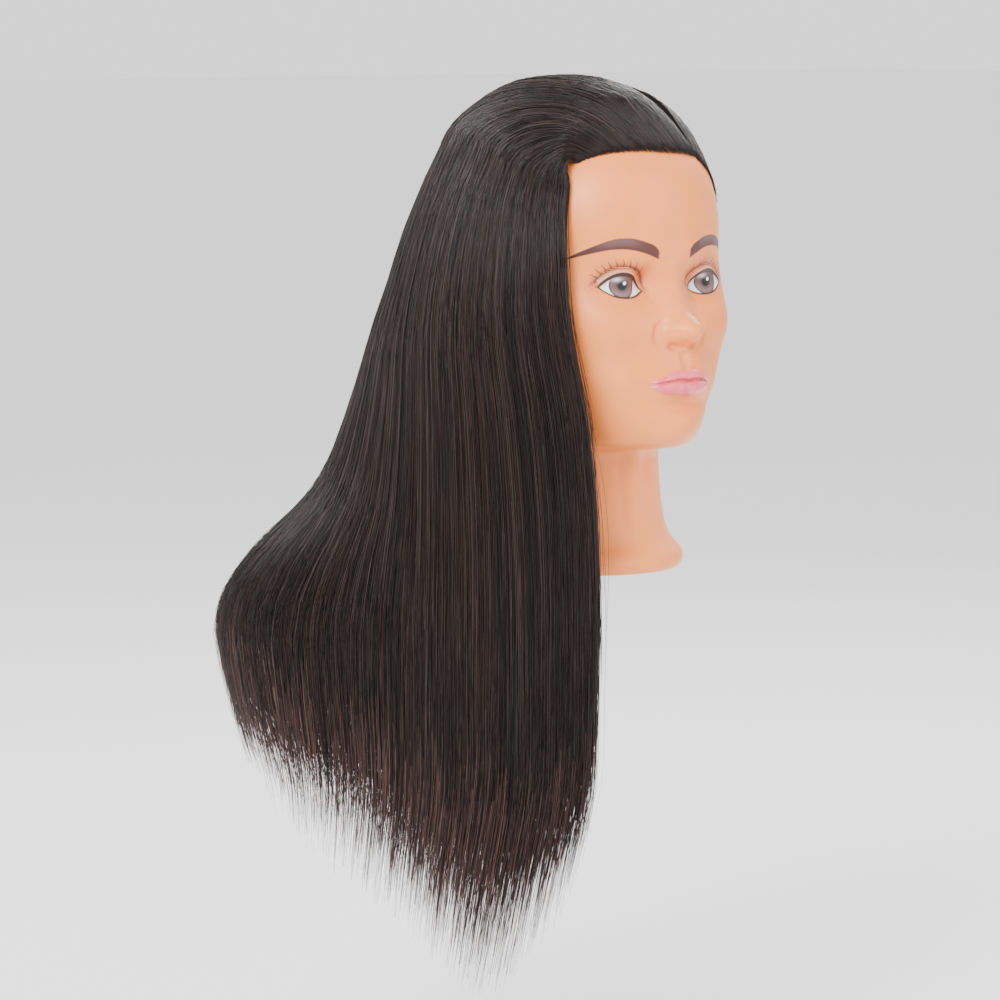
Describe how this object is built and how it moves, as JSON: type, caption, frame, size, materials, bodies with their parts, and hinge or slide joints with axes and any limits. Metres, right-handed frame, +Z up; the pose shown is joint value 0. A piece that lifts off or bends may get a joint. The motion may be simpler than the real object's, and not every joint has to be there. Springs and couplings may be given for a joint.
{
  "type": "mannequin training head",
  "caption": "Hairdresser's practice head: hollow vinyl head and neck with foam core, clamp socket and long straight rooted hair hanging to one side.",
  "frame": {"origin": "mouth of the clamp socket, at the centre of the neck's flat base", "axes": "+Z up through the crown, the face looks along -Y, the head's own right side is -X"},
  "size_m": [0.2402, 0.2856, 0.511],
  "materials": {
    "vinyl_skin": "satin soft vinyl, peach",
    "root_latex": "brushed-on latex",
    "foam": "open-cell foam",
    "base_plastic": "moulded plastic",
    "hair": "glossy straight hair, very dark brown"
  },
  "bodies": {
    "root": {"head_skin": "vinyl_skin", "root_lining": "root_latex", "foam_core": "foam", "base_disc": "base_plastic", "socket_sleeve": "base_plastic", "hair_top": "hair", "hair_left_side": "hair", "hair_right_side": "hair", "hair_right_crown": "hair", "hair_left_crown": "hair", "hair_right_nape": "hair", "hair_left_nape": "hair"}
  },
  "joints": []
}
